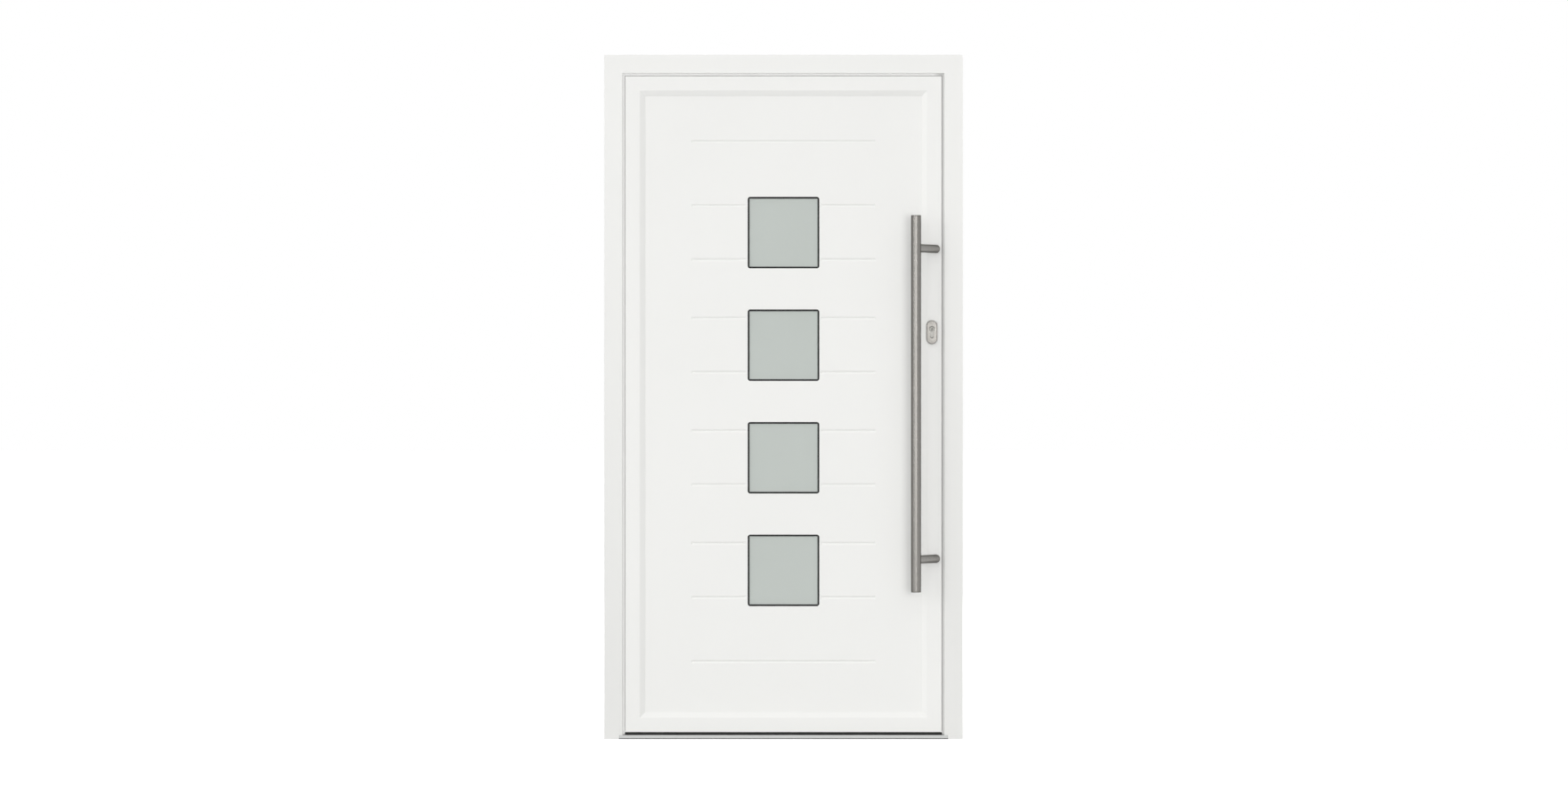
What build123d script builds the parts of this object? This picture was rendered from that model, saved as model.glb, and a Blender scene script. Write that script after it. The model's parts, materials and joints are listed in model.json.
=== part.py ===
"""Aluminium front door: an inward-opening panel leaf with four square windows in a frame.

+Z is up, the outside face looks along -Y and the hinges are on the -X side.
The origin is the middle of the threshold's underside. All sizes are in millimetres.
"""

import os
from collections import namedtuple

from build123d import *

# Doorset
FRAME_WIDTH = 1100.0
FRAME_HEIGHT = 2100.0
FRAME_DEPTH = 75.0

# Frame profile: an outer shell with a wide face, a plastic break and a narrower inner shell
FRAME_FACE = 57.0
FRAME_BODY = 45.0
FRAME_SHELL_DEPTH = 40.0
FRAME_BREAK_DEPTH = 14.0
FRAME_EDGE_RADIUS = 3.0
WALL = 2.0
EDGE_WALL = 5.5
BREAK_STRIP = 3.0
BREAK_INSET = 6.0

# Clearances between the leaf and the frame
GAP_OUTSIDE = 7.5
GAP_INSIDE = 6.0
GAP_STEP = 7.0
LEAF_RECESS = 5.0
SEAL_CLEARANCE = 0.5

# Threshold
THRESHOLD_HEIGHT = 14.5
THRESHOLD_FRONT = 12.5
THRESHOLD_SLOPE = 17.0
THRESHOLD_SKIN = 3.0
THRESHOLD_LIFT = 2.5
THRESHOLD_BREAK = 14.0
LEAF_BOTTOM_GAP = 6.5

# Leaf profile: body, then a sloped nose that laps the panel
LEAF_BODY = 44.0
NOSE_WIDTH = 16.0
NOSE_DROP = 6.5
NOSE_TIP = 1.5
NOSE_RADIUS = 5.0
LEAF_BREAK_DEPTH = 14.5
LEAF_EDGE_RADIUS = 1.5
BEAD_WIDTH = 22.0
BEAD_SLOPE = 12.0
BEAD_TIP = 7.0
PANEL_EDGE_PLAY = 3.0
BEAD_MITRE_PLAY = 0.2

# Panel
OUTER_SHEET = 3.0
INNER_SHEET = 2.0
PANEL_THICKNESS = 44.0

# Windows
WINDOW_COUNT = 4
WINDOW_PITCH = 346.0
WINDOW_RISE = 8.0
WINDOW_SIZE = 220.0
WINDOW_RADIUS = 8.0
WINDOW_SEAL = 5.5
GLASS_RECESS = 5.0
GLASS_LAP = 8.0
OUTER_PANE = 6.0
INNER_PANE = 4.0
SPACER_WIDTH = 7.0

# Pressed grooves: one pair beside each window, one full line above and one below
GROOVE_LENGTH = 567.0
GROOVE_WIDTH = 10.5
GROOVE_DEPTH = 2.4
GROOVE_PAIR = 166.0
GROOVE_END_STEP = 197.0
GROOVE_STOP = 4.0
GROOVE_TAPER = 4.0

# Pull bar on two cranked brackets
BAR_DIAMETER = 30.0
BAR_WALL = 2.0
BAR_LENGTH = 1150.0
BAR_FROM_EDGE = 81.5
BAR_RISE = 1.0
BAR_STANDOFF = 76.0
BAR_CAP = 4.0
BAR_CAP_CHAMFER = 1.2
BRACKET_DIAMETER = 25.0
BRACKET_SPACING = 950.0
BRACKET_FROM_EDGE = 18.5

# Lock, its plates and the inside lever
LOCK_HEIGHT = 1257.0
LOCK_BACKSET = 30.5
LEVER_DROP = 92.0
LOCK_DEPTH = 15.0
ROSETTE_LENGTH = 73.0
ROSETTE_WIDTH = 33.5
ROSETTE_THICKNESS = 9.0
ROSETTE_CHAMFER = 1.0
ROSETTE_DROP = 8.0
CYLINDER_RADIUS = 8.5
CYLINDER_TAIL = 24.5
CYLINDER_TAIL_WIDTH = 10.0
CYLINDER_SETBACK = 2.0
CYLINDER_PLAY = 0.3
KEYWAY_WIDTH = 2.4
KEYWAY_HEIGHT = 9.0
KEYWAY_DEPTH = 12.0
FACEPLATE_WIDTH = 20.0
FACEPLATE_THICKNESS = 2.5
FACEPLATE_LENGTH = 1500.0
FACEPLATE_LIFT = 60.0
BOLT_WIDTH = 11.0
LATCH_HEIGHT = 24.0
DEADBOLT_HEIGHT = 32.0
BOLT_LENGTH = 15.0
BOLT_PLAY = 0.4
HOOK_HEIGHT = 40.0
HOOK_ABOVE = 500.0
HOOK_BELOW = 760.0
STRIKE_MARGIN = 28.0
STRIKE_WIDTH = 22.0
STRIKE_THICKNESS = 2.0
LEVER_DIAMETER = 18.0
LEVER_LENGTH = 128.0
LEVER_STANDOFF = 52.0

# Hinges
HINGE_NAMES = ("bottom", "middle", "top")
HINGE_FROM_ENDS = 210.0
HINGE_LENGTH = 120.0
HINGE_PLAY = 1.0
HINGE_STANDOFF = 17.0
KNUCKLE_RADIUS = 10.0
PIN_RADIUS = 5.0
PIN_PLAY = 0.05
PIN_PROUD = 1.5
WING_WIDTH = 36.0
WING_THICKNESS = 5.0
WING_SETBACK = 9.0

# Wall fixings through each jamb
FIXING_DIAMETER = 8.0
FIXING_END_SPACING = 1700.0
FIXING_MIDDLE_SPACING = 700.0
FIXING_DEPTH = 17.5

# Seals
FRAME_SEAL_WIDTH = 6.5
FRAME_SEAL_DEPTH = 6.0
FRAME_SEAL_SETBACK = 0.2
REBATE_SEAL_WIDTH = 8.0
BOTTOM_SEAL_WIDTH = 5.0
BOTTOM_SEAL_SETBACK = 0.5

# Levels through the depth, from outside to inside
Y_OUT = -FRAME_DEPTH / 2
Y_IN = FRAME_DEPTH / 2
STEP_Y = Y_OUT + FRAME_SHELL_DEPTH
FRAME_INNER_Y = STEP_Y + FRAME_BREAK_DEPTH
LEAF_Y = Y_OUT + LEAF_RECESS
FLANGE_Y = STEP_Y + GAP_STEP
LEAF_SHELL_Y = FLANGE_Y - LEAF_BREAK_DEPTH
PANEL_Y = LEAF_Y + NOSE_DROP + NOSE_TIP
PANEL_BACK_Y = PANEL_Y + PANEL_THICKNESS
CORE_Y = PANEL_Y + OUTER_SHEET
CORE_BACK_Y = PANEL_BACK_Y - INNER_SHEET
GLASS_Y = PANEL_Y + GLASS_RECESS
GLASS_BACK_Y = PANEL_BACK_Y - GLASS_RECESS
LOCK_Y = LEAF_Y + LOCK_DEPTH
FIXING_Y = Y_OUT + FIXING_DEPTH

# Rectangles that the profiles run round
Ring = namedtuple("Ring", "left right bottom top")
LEAF_HALF = FRAME_WIDTH / 2 - FRAME_FACE - GAP_OUTSIDE
LEAF_BOTTOM = THRESHOLD_HEIGHT + LEAF_BOTTOM_GAP
LEAF_TOP = FRAME_HEIGHT - FRAME_FACE - GAP_OUTSIDE
LEAF_MID = (LEAF_BOTTOM + LEAF_TOP) / 2
FRAME_RING = Ring(-FRAME_WIDTH / 2, FRAME_WIDTH / 2, 0.0, FRAME_HEIGHT)
SEAL_RING = FRAME_RING._replace(bottom=THRESHOLD_HEIGHT)
LEAF_RING = Ring(-LEAF_HALF, LEAF_HALF, LEAF_BOTTOM, LEAF_TOP)
FLANGE_OVERLAP = FRAME_FACE + GAP_OUTSIDE - FRAME_BODY - GAP_INSIDE
THRESHOLD_HALF = FRAME_WIDTH / 2 - FRAME_BODY
LOCK_X = LEAF_HALF - LOCK_BACKSET
STRIKE_X = FRAME_WIDTH / 2 - FRAME_FACE
BAR_X = LEAF_HALF - BAR_FROM_EDGE
BAR_Y = LEAF_Y - BAR_STANDOFF
BAR_Z = LEAF_MID + BAR_RISE
HINGE_X = -FRAME_WIDTH / 2 + FRAME_BODY + GAP_INSIDE / 2
HINGE_Y = Y_IN + HINGE_STANDOFF
LEVER_HEIGHT = LOCK_HEIGHT - LEVER_DROP
OVERRUN = 60.0
CUT_PAST = 1.0
MITRE_REACH = 0.4


def outline(*points):
    """Flat section bounded by straight lines through the points."""
    return make_face(Polyline(*points, close=True))


def block(u0, u1, v0, v1):
    """Rectangular section between two limits in each direction."""
    return outline((u0, v0), (u1, v0), (u1, v1), (u0, v1))


def rounded(section, radius, *corners):
    """Round the section's corners that lie nearest to the given points."""
    picked = [section.vertices().sort_by_distance(Vector(*c))[0] for c in corners]
    return fillet(picked, radius)


def slab(x0, x1, y0, y1, z0, z1):
    """Box between two limits along each axis."""
    return Pos((x0 + x1) / 2, (y0 + y1) / 2, (z0 + z1) / 2) * Box(x1 - x0, y1 - y0, z1 - z0)


def from_front(section, x, z, y0, y1):
    """Extrude a section drawn in the front view between two depths."""
    plane = Plane(origin=(x, y0, z), x_dir=(1, 0, 0), z_dir=(0, -1, 0))
    return extrude(plane * section, amount=y1 - y0, dir=(0, 1, 0))


def mitre_region(side, ring, foot, play):
    """Front-view region that one side of a ring keeps once its ends are mitred."""
    left, right, bottom, top = ring
    reach = min(right - left, top - bottom) * MITRE_REACH
    if side == "top":
        points = [
            (left - OVERRUN + play, top + OVERRUN),
            (right + OVERRUN - play, top + OVERRUN),
            (right - reach - play, top - reach),
            (left + reach + play, top - reach),
        ]
    elif side == "bottom":
        points = [
            (left + play, bottom),
            (right - play, bottom),
            (right - reach - play, bottom + reach),
            (left + reach + play, bottom + reach),
        ]
    else:
        edge = left if side == "left" else right
        inward = 1 if side == "left" else -1
        inner_foot = bottom + reach if foot == "mitred" else bottom
        points = [
            (edge - inward * OVERRUN, top + OVERRUN),
            (edge - inward * OVERRUN, bottom),
            (edge, bottom),
            (edge + inward * reach, inner_foot),
            (edge + inward * reach, top - reach),
        ]
    return from_front(outline(*points), 0, 0, -FRAME_DEPTH, FRAME_DEPTH)


def member(section, side, ring, foot="mitred", play=0.0):
    """Run a section along one side of a ring: u points inward from the ring, v along +Y."""
    left, right, bottom, top = ring
    height = top - bottom + 2 * OVERRUN
    width = right - left + 2 * OVERRUN
    start, u_dir, run_dir, length = {
        "left": ((left, 0, bottom - OVERRUN), (1, 0, 0), (0, 0, 1), height),
        "right": ((right, 0, top + OVERRUN), (-1, 0, 0), (0, 0, -1), height),
        "top": ((left - OVERRUN, 0, top), (0, 0, -1), (1, 0, 0), width),
        "bottom": ((right + OVERRUN, 0, bottom), (0, 0, 1), (-1, 0, 0), width),
    }[side]
    plane = Plane(origin=start, x_dir=u_dir, z_dir=run_dir)
    run = extrude(plane * section, amount=length, dir=run_dir)
    return run & mitre_region(side, ring, foot, play)


def fused(shapes):
    """One solid from shapes that meet."""
    body = shapes[0]
    for shape in shapes[1:]:
        body = body + shape
    return body


def group(shapes):
    """Separate solids that share one node."""
    solids = [solid for shape in shapes for solid in shape.solids()]
    return Compound(children=solids)


def frame_sections():
    """Hollow outer shell, hollow inner shell and the two break strips of the frame profile."""
    outer = block(0, FRAME_FACE, Y_OUT, STEP_Y)
    outer = rounded(outer, FRAME_EDGE_RADIUS, (FRAME_FACE, Y_OUT))
    outer -= block(WALL, FRAME_FACE - EDGE_WALL, Y_OUT + WALL, STEP_Y - WALL)
    inner = block(0, FRAME_BODY, FRAME_INNER_Y, Y_IN)
    inner = rounded(inner, LEAF_EDGE_RADIUS, (FRAME_BODY, Y_IN))
    inner -= block(WALL, FRAME_BODY - WALL, FRAME_INNER_Y + WALL, Y_IN - WALL)
    near = block(BREAK_INSET, BREAK_INSET + BREAK_STRIP, STEP_Y, FRAME_INNER_Y)
    far_u = FRAME_BODY - BREAK_INSET
    far = block(far_u - BREAK_STRIP, far_u, STEP_Y, FRAME_INNER_Y)
    return outer, inner, near, far


def threshold_envelope():
    """Depth and height outline of the whole threshold."""
    return outline(
        (Y_OUT, 0),
        (Y_IN, 0),
        (Y_IN, THRESHOLD_HEIGHT),
        (Y_OUT + THRESHOLD_SLOPE, THRESHOLD_HEIGHT),
        (Y_OUT, THRESHOLD_FRONT),
    )


def along_threshold(section):
    """Extrude a section of depth and height over the threshold's length."""
    plane = Plane(origin=(-THRESHOLD_HALF, 0, 0), x_dir=(0, 1, 0), z_dir=(1, 0, 0))
    return extrude(plane * section, amount=2 * THRESHOLD_HALF, dir=(1, 0, 0))


def fixing_bores(side):
    """Bores for the wall screws, right through one jamb's outer shell."""
    x = side * (FRAME_WIDTH / 2 - FRAME_FACE / 2)
    spacings = (FIXING_END_SPACING, FIXING_MIDDLE_SPACING)
    heights = [FRAME_HEIGHT / 2 + sign * spacing / 2 for spacing in spacings for sign in (-1, 1)]
    bore = Rot(0, 90, 0) * Cylinder(FIXING_DIAMETER / 2, FRAME_FACE + 2 * CUT_PAST)
    return [Pos(x, FIXING_Y, z) * bore for z in heights]


def bolt_rows():
    """Height and opening height of each bolt of the lock."""
    return {
        "latch": (LEVER_HEIGHT, LATCH_HEIGHT),
        "deadbolt": (LOCK_HEIGHT - ROSETTE_LENGTH / 2, DEADBOLT_HEIGHT),
        "upper_hook": (LOCK_HEIGHT + HOOK_ABOVE, HOOK_HEIGHT),
        "lower_hook": (LOCK_HEIGHT - HOOK_BELOW, HOOK_HEIGHT),
    }


def bolt_space(name, x0, x1, play):
    """Room for one bolt between two positions across the door."""
    z, height = bolt_rows()[name]
    half_y = BOLT_WIDTH / 2 + play
    half_z = height / 2 + play
    return slab(x0, x1, LOCK_Y - half_y, LOCK_Y + half_y, z - half_z, z + half_z)


def strike_blanks():
    """Strike plates in the lock jamb, without their openings."""
    rows = bolt_rows()
    spans = [
        (rows["latch"], rows["deadbolt"]),
        (rows["upper_hook"], rows["upper_hook"]),
        (rows["lower_hook"], rows["lower_hook"]),
    ]
    half = STRIKE_WIDTH / 2
    blanks = []
    for low, high in spans:
        z0 = low[0] - low[1] / 2 - STRIKE_MARGIN
        z1 = high[0] + high[1] / 2 + STRIKE_MARGIN
        x1 = STRIKE_X + STRIKE_THICKNESS
        blanks.append(slab(STRIKE_X, x1, LOCK_Y - half, LOCK_Y + half, z0, z1))
    return blanks


def make_frame():
    """Jambs, head, threshold, break strips, seals and strike plates."""
    outer, inner, near, far = frame_sections()
    sill = along_threshold(threshold_envelope())
    hinge_outer = member(outer, "left", FRAME_RING, "square") - sill
    lock_outer = member(outer, "right", FRAME_RING, "square") - sill
    for bore in fixing_bores(-1):
        hinge_outer -= bore
    for bore in fixing_bores(1):
        lock_outer -= bore
    strikes = []
    for blank in strike_blanks():
        lock_outer -= blank
        strikes.append(blank)
    for name in bolt_rows():
        pocket = bolt_space(name, STRIKE_X - CUT_PAST, STRIKE_X + EDGE_WALL + CUT_PAST, 2 * BOLT_PLAY)
        lock_outer -= pocket
        strikes = [strike - pocket for strike in strikes]
    strips = []
    for section in (near, far):
        sides = [member(section, side, FRAME_RING, "square") for side in ("left", "top", "right")]
        strips.append(fused(sides))
    return {
        "hinge_jamb": group([hinge_outer, member(inner, "left", FRAME_RING, "square")]),
        "lock_jamb": group([lock_outer, member(inner, "right", FRAME_RING, "square")]),
        "frame_head": group([member(outer, "top", FRAME_RING), member(inner, "top", FRAME_RING)]),
        "frame_thermal_break": group(strips),
        "strike_plates": group(strikes),
        **make_frame_seals(),
        **make_threshold(),
    }


def make_frame_seals():
    """Grey lip seal in the outside gap and the soft seal on the rebate's step."""
    lip_y = LEAF_Y + FRAME_SEAL_SETBACK
    lip = block(FRAME_FACE, FRAME_FACE + FRAME_SEAL_WIDTH, lip_y, lip_y + FRAME_SEAL_DEPTH)
    lip = rounded(lip, FRAME_SEAL_WIDTH / 3, (FRAME_FACE + FRAME_SEAL_WIDTH, lip_y))
    u1 = FRAME_FACE
    u0 = u1 - REBATE_SEAL_WIDTH
    v1 = FLANGE_Y - SEAL_CLEARANCE
    pad = rounded(block(u0, u1, STEP_Y, v1), REBATE_SEAL_WIDTH / 4, (u0, v1), (u1, v1))
    sides = ("left", "top", "right")
    return {
        "outside_seal": fused([member(lip, side, SEAL_RING, "square") for side in sides]),
        "rebate_seal": fused([member(pad, side, SEAL_RING, "square") for side in sides]),
    }


def make_threshold():
    """Plastic base with an aluminium cover outside and another inside."""
    half_break = THRESHOLD_BREAK / 2
    whole = threshold_envelope()
    core = block(Y_OUT + THRESHOLD_SKIN, Y_IN - THRESHOLD_SKIN, 0, THRESHOLD_HEIGHT - THRESHOLD_SKIN)
    slope = (THRESHOLD_HEIGHT - THRESHOLD_FRONT) / THRESHOLD_SLOPE
    under = outline(
        (Y_OUT, 0),
        (Y_IN, 0),
        (Y_IN, THRESHOLD_HEIGHT - THRESHOLD_SKIN),
        (Y_OUT + THRESHOLD_SLOPE, THRESHOLD_HEIGHT - THRESHOLD_SKIN),
        (Y_OUT, THRESHOLD_HEIGHT - THRESHOLD_SKIN - slope * THRESHOLD_SLOPE),
    )
    base = (core & under) + block(-half_break, half_break, 0, THRESHOLD_HEIGHT)
    above_floor = block(Y_OUT, Y_IN, THRESHOLD_LIFT, THRESHOLD_HEIGHT)
    covers = (whole & above_floor) - base
    outer = covers & block(Y_OUT, 0, 0, THRESHOLD_HEIGHT)
    inner = covers & block(0, Y_IN, 0, THRESHOLD_HEIGHT)
    return {
        "threshold_base": along_threshold(base),
        "threshold_outer_cover": along_threshold(outer),
        "threshold_inner_cover": along_threshold(inner),
    }


def leaf_sections():
    """Outer shell with the nose, inner shell with its flange, break strips and bead."""
    tip_u = LEAF_BODY + NOSE_WIDTH
    outer = outline(
        (0, LEAF_Y),
        (LEAF_BODY, LEAF_Y),
        (tip_u, LEAF_Y + NOSE_DROP),
        (tip_u, PANEL_Y),
        (LEAF_BODY, PANEL_Y),
        (LEAF_BODY, LEAF_SHELL_Y),
        (0, LEAF_SHELL_Y),
    )
    outer = rounded(outer, LEAF_EDGE_RADIUS, (0, LEAF_Y))
    outer = rounded(outer, NOSE_RADIUS, (LEAF_BODY, LEAF_Y))
    outer -= block(EDGE_WALL, LEAF_BODY - WALL, LEAF_Y + WALL, LEAF_SHELL_Y - WALL)
    near = block(BREAK_INSET, BREAK_INSET + BREAK_STRIP, LEAF_SHELL_Y, FLANGE_Y)
    far_u = LEAF_BODY - WALL
    far = block(far_u - BREAK_STRIP, far_u, LEAF_SHELL_Y, FLANGE_Y)
    bead_u = LEAF_BODY + BEAD_WIDTH
    bead = outline(
        (LEAF_BODY, PANEL_BACK_Y),
        (bead_u, PANEL_BACK_Y),
        (bead_u, PANEL_BACK_Y + BEAD_TIP),
        (bead_u - BEAD_SLOPE, Y_IN),
        (LEAF_BODY, Y_IN),
    )
    bead = rounded(bead, NOSE_RADIUS, (bead_u - BEAD_SLOPE, Y_IN))
    return outer, near, far, bead


def leaf_inner_section(overlap):
    """Hollow inner shell, reaching past the leaf's edge by the flange's overlap."""
    shell = block(-overlap, LEAF_BODY, FLANGE_Y, Y_IN)
    shell = rounded(shell, LEAF_EDGE_RADIUS, (-overlap, Y_IN))
    return shell - block(WALL - overlap, LEAF_BODY - WALL, FLANGE_Y + WALL, Y_IN - WALL)


def cylinder_section(play):
    """Round barrel with a straight tail under it."""
    barrel = Circle(CYLINDER_RADIUS + play)
    half = CYLINDER_TAIL_WIDTH / 2
    tail = block(-half - play, half + play, half - CYLINDER_TAIL, 0)
    return barrel + tail + Pos(0, half - CYLINDER_TAIL) * Circle(half + play)


def faceplate_blank():
    """Lock faceplate let into the leaf's lock edge, without its openings."""
    z = LOCK_HEIGHT - LEVER_DROP / 2 - FACEPLATE_LIFT
    half_y = FACEPLATE_WIDTH / 2
    half_z = FACEPLATE_LENGTH / 2
    x0 = LEAF_HALF - FACEPLATE_THICKNESS
    return slab(x0, LEAF_HALF, LOCK_Y - half_y, LOCK_Y + half_y, z - half_z, z + half_z)


def make_leaf_frame():
    """Stiles, rails, break strips, beads, bottom seal and the lock in the lock stile."""
    outer, near, far, bead = leaf_sections()
    flanged = leaf_inner_section(FLANGE_OVERLAP)
    plain = leaf_inner_section(0)
    lock_outer = member(outer, "right", LEAF_RING)
    lock_inner = member(flanged, "right", LEAF_RING)
    slot_half = CYLINDER_RADIUS + CYLINDER_PLAY
    slot_foot = LOCK_HEIGHT - CYLINDER_TAIL - CYLINDER_PLAY
    slot = slab(
        LOCK_X - slot_half,
        LOCK_X + slot_half,
        LEAF_Y - CUT_PAST,
        Y_IN + CUT_PAST,
        slot_foot,
        LOCK_HEIGHT + slot_half,
    )
    plate = faceplate_blank()
    lock_outer -= slot
    lock_inner -= slot
    lock_outer -= plate
    bolts = []
    for name in bolt_rows():
        opening = bolt_space(name, LEAF_HALF - BOLT_LENGTH, LEAF_HALF + CUT_PAST, BOLT_PLAY)
        lock_outer -= opening
        plate -= opening
        bolts.append(bolt_space(name, LEAF_HALF - BOLT_LENGTH, LEAF_HALF, 0))
    sides = ("left", "right", "top", "bottom")
    strips = [fused([member(part, side, LEAF_RING) for side in sides]) for part in (near, far)]
    seal_y = LEAF_Y + BOTTOM_SEAL_SETBACK
    seal_z = THRESHOLD_HEIGHT + 2 * SEAL_CLEARANCE
    seal = slab(-LEAF_HALF, LEAF_HALF, seal_y, seal_y + BOTTOM_SEAL_WIDTH, seal_z, LEAF_BOTTOM)
    return {
        "hinge_stile": group([member(outer, "left", LEAF_RING), member(flanged, "left", LEAF_RING)]),
        "lock_stile": group([lock_outer, lock_inner]),
        "top_rail": group([member(outer, "top", LEAF_RING), member(flanged, "top", LEAF_RING)]),
        "bottom_rail": group([member(outer, "bottom", LEAF_RING), member(plain, "bottom", LEAF_RING)]),
        "leaf_thermal_break": group(strips),
        "panel_beads": group([member(bead, side, LEAF_RING, play=BEAD_MITRE_PLAY) for side in sides]),
        "bottom_seal": seal,
        "lock_faceplate": plate,
        "lock_bolts": group(bolts),
    }


def window_heights():
    """Middle height of each window, from the top down."""
    top = LEAF_MID + WINDOW_RISE + (WINDOW_COUNT - 1) / 2 * WINDOW_PITCH
    return [top - i * WINDOW_PITCH for i in range(WINDOW_COUNT)]


def groove(x0, x1, z):
    """Cutter for one shallow V groove between two positions, hipped at both ends."""
    half = GROOVE_WIDTH / 2
    bottom_y = PANEL_Y + GROOVE_DEPTH
    vee = outline((PANEL_Y, z - half), (bottom_y, z), (PANEL_Y, z + half))
    across = Plane(origin=(x0, 0, 0), x_dir=(0, 1, 0), z_dir=(1, 0, 0))
    run = extrude(across * vee, amount=x1 - x0, dir=(1, 0, 0))
    hip = outline((x0, PANEL_Y), (x1, PANEL_Y), (x1 - GROOVE_TAPER, bottom_y), (x0 + GROOVE_TAPER, bottom_y))
    return run & Pos(0, 0, z - half) * extrude(hip, amount=GROOVE_WIDTH, dir=(0, 0, 1))


def grooves():
    """Cutters of every groove on the outer sheet."""
    half = GROOVE_LENGTH / 2
    inner = WINDOW_SIZE / 2 + GROOVE_STOP
    heights = window_heights()
    end_offset = GROOVE_PAIR / 2 + GROOVE_END_STEP
    cutters = [
        groove(-half, half, heights[0] + end_offset),
        groove(-half, half, heights[-1] - end_offset),
    ]
    for z in heights:
        for row in (z - GROOVE_PAIR / 2, z + GROOVE_PAIR / 2):
            cutters.append(groove(-half, -inner, row))
            cutters.append(groove(inner, half, row))
    return cutters


def make_panel():
    """Grooved outer sheet, insulating core, inner sheet and the glazed windows."""
    margin = LEAF_BODY + PANEL_EDGE_PLAY
    half = LEAF_HALF - margin
    z0 = LEAF_BOTTOM + margin
    z1 = LEAF_TOP - margin
    outer = slab(-half, half, PANEL_Y, CORE_Y, z0, z1)
    core = slab(-half, half, CORE_Y, CORE_BACK_Y, z0, z1)
    inner = slab(-half, half, CORE_BACK_Y, PANEL_BACK_Y, z0, z1)
    for cutter in grooves():
        outer -= cutter
    unit = WINDOW_SIZE + 2 * GLASS_LAP
    clear = WINDOW_SIZE - 2 * WINDOW_SEAL
    hole = RectangleRounded(WINDOW_SIZE, WINDOW_SIZE, WINDOW_RADIUS)
    glass = Rectangle(unit, unit)
    collar = glass - Rectangle(clear, clear)
    spacer = glass - Rectangle(unit - 2 * SPACER_WIDTH, unit - 2 * SPACER_WIDTH)
    outer_pane_back = GLASS_Y + OUTER_PANE
    inner_pane_front = GLASS_BACK_Y - INNER_PANE
    nodes = {}
    outside_seals = []
    inside_seals = []
    spacers = []
    for number, z in enumerate(window_heights(), start=1):
        opening = from_front(hole, 0, z, PANEL_Y - CUT_PAST, PANEL_BACK_Y + CUT_PAST)
        outer -= opening
        inner -= opening
        core -= from_front(glass, 0, z, CORE_Y - CUT_PAST, CORE_BACK_Y + CUT_PAST)
        panes = [
            from_front(glass, 0, z, GLASS_Y, outer_pane_back),
            from_front(glass, 0, z, inner_pane_front, GLASS_BACK_Y),
        ]
        nodes[f"window_glass_{number}"] = group(panes)
        spacers.append(from_front(spacer, 0, z, outer_pane_back, inner_pane_front))
        outside_seals.append(from_front(collar, 0, z, CORE_Y, GLASS_Y))
        inside_seals.append(from_front(collar, 0, z, GLASS_BACK_Y, CORE_BACK_Y))
    return {
        "panel_outer_sheet": outer,
        "panel_core": core,
        "panel_inner_sheet": inner,
        **nodes,
        "window_spacers": group(spacers),
        "outside_window_seals": group(outside_seals),
        "inside_window_seals": group(inside_seals),
    }


def bracket(z, bar):
    """Cranked round bracket: square off the leaf, then at 45 degrees to the bar."""
    foot_x = LEAF_HALF - BRACKET_FROM_EDGE
    knee_y = BAR_Y + (foot_x - BAR_X)
    path = Polyline((foot_x, LEAF_Y, z), (foot_x, knee_y, z), (BAR_X, BAR_Y, z))
    start = Plane(origin=(foot_x, LEAF_Y, z), x_dir=(1, 0, 0), z_dir=(0, -1, 0))
    swept = sweep(start * Circle(BRACKET_DIAMETER / 2), path=path, transition=Transition.RIGHT)
    return swept - bar


def make_pull_bar():
    """Round tube with end caps, carried by two brackets."""
    radius = BAR_DIAMETER / 2
    tube_length = BAR_LENGTH - 2 * BAR_CAP
    middle = Pos(BAR_X, BAR_Y, BAR_Z)
    solid_bar = middle * Cylinder(radius, BAR_LENGTH)
    tube = middle * (Cylinder(radius, tube_length) - Cylinder(radius - BAR_WALL, tube_length))
    cap = Cylinder(radius, BAR_CAP)
    rim = cap.edges().filter_by(GeomType.CIRCLE).sort_by(Axis.Z)[-1]
    cap = chamfer(rim, BAR_CAP_CHAMFER)
    shift = (tube_length + BAR_CAP) / 2
    caps = [
        middle * Pos(0, 0, shift) * cap,
        middle * Pos(0, 0, -shift) * Rot(180, 0, 0) * cap,
    ]
    return {
        "pull_bar": tube,
        "pull_bar_caps": group(caps),
        "upper_bracket": bracket(BAR_Z + BRACKET_SPACING / 2, solid_bar),
        "lower_bracket": bracket(BAR_Z - BRACKET_SPACING / 2, solid_bar),
    }


def rosette(y0, y1, z):
    """Oval cover plate standing on a face at y0, bevelled round its front at y1."""
    section = SlotOverall(ROSETTE_LENGTH, ROSETTE_WIDTH, rotation=90)
    low, high = sorted((y0, y1))
    plate = from_front(section, LOCK_X, z, low, high)
    front = plate.faces().sort_by(Axis.Y)[-1 if y1 > y0 else 0]
    return chamfer(front.edges(), ROSETTE_CHAMFER)


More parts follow.
